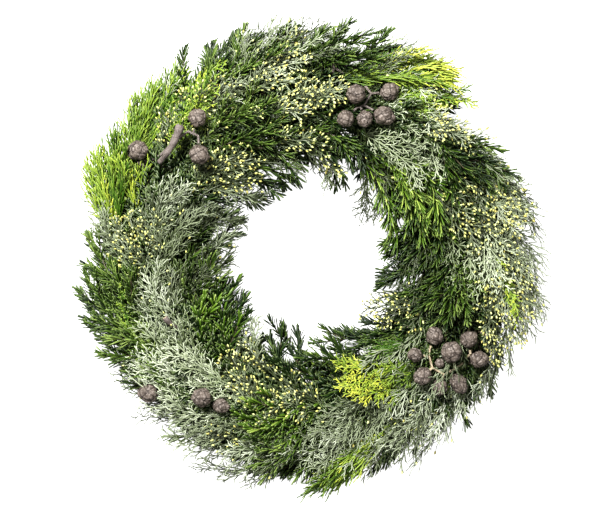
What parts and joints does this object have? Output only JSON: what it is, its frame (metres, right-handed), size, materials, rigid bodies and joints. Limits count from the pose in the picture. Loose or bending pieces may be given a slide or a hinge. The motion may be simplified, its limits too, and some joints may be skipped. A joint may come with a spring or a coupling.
{
  "type": "evergreen wreath",
  "caption": "Round wreath of fresh mixed evergreens and cones, lying on its back, the bunches of greens wired clockwise to a double-rail wire frame.",
  "frame": {"origin": "on the surface that the wreath lies on, under the middle of its bounding box", "axes": "+Z out of the wreath's front, away from the surface it lies on; +Y towards the top as it would hang; +X to the right seen from the front"},
  "size_m": [0.5766, 0.5782, 0.1064],
  "materials": {
    "fir_greens": "waxy dark green needles, paler beneath",
    "cypress_greens": "matt grey-green scale leaves with cream pollen buds",
    "golden_greens": "lime to gold flat fern-like sprays",
    "cone_scales": "dry woody scales, grey-brown",
    "twig_bark": "thin tan bark",
    "frame_wire": "green enamelled steel wire",
    "paddle_wire": "green enamelled binding wire"
  },
  "bodies": {
    "root": {"binding_wire": "paddle_wire", "cone_lower_left_1": "cone_scales", "cone_lower_left_2": "cone_scales", "cone_lower_left_3": "cone_scales", "cone_lower_right_1": "cone_scales", "cone_lower_right_2": "cone_scales", "cone_lower_right_3": "cone_scales", "cone_lower_right_4": "cone_scales", "cone_lower_right_5": "cone_scales", "cone_lower_right_6": "cone_scales", "cone_lower_right_7": "cone_scales", "cone_lower_right_8": "cone_scales", "cone_lower_right_9": "cone_scales", "cone_twig_lower_left": "twig_bark", "cone_twig_lower_right": "twig_bark", "cone_twig_upper_left": "twig_bark", "cone_twig_upper_right": "twig_bark", "cone_upper_left_1": "cone_scales", "cone_upper_left_2": "cone_scales", "cone_upper_left_3": "cone_scales", "cone_upper_right_1": "cone_scales", "cone_upper_right_2": "cone_scales", "cone_upper_right_3": "cone_scales", "cone_upper_right_4": "cone_scales", "cone_upper_right_5": "cone_scales", "crown_cypress_bunch_01": "cypress_greens", "crown_cypress_bunch_03": "cypress_greens", "crown_cypress_bunch_04": "cypress_greens", "crown_cypress_bunch_05": "cypress_greens", "crown_cypress_bunch_07": "cypress_greens", "crown_cypress_bunch_08": "cypress_greens", "crown_cypress_bunch_09": "cypress_greens", "crown_cypress_bunch_10": "cypress_greens", "crown_cypress_bunch_12": "cypress_greens", "crown_fir_bunch_02": "fir_greens", "crown_fir_bunch_06": "fir_greens", "crown_fir_bunch_11": "fir_greens", "inner_cypress_bunch_03": "cypress_greens", "inner_cypress_bunch_07": "cypress_greens", "inner_cypress_bunch_09": "cypress_greens", "inner_fir_bunch_01": "fir_greens", "inner_fir_bunch_02": "fir_greens", "inner_fir_bunch_05": "fir_greens", "inner_fir_bunch_06": "fir_greens", "inner_fir_bunch_08": "fir_greens", "inner_gold_bunch_04": "golden_greens", "outer_cypress_bunch_03": "cypress_greens", "outer_cypress_bunch_05": "cypress_greens", "outer_cypress_bunch_07": "cypress_greens", "outer_fir_bunch_02": "fir_greens", "outer_fir_bunch_04": "fir_greens", "outer_fir_bunch_06": "fir_greens", "outer_fir_bunch_08": "fir_greens", "outer_fir_bunch_09": "fir_greens", "outer_fir_bunch_12": "fir_greens", "outer_gold_bunch_01": "golden_greens", "outer_gold_bunch_10": "golden_greens", "outer_gold_bunch_11": "golden_greens", "wire_frame": "frame_wire"}
  },
  "joints": []
}
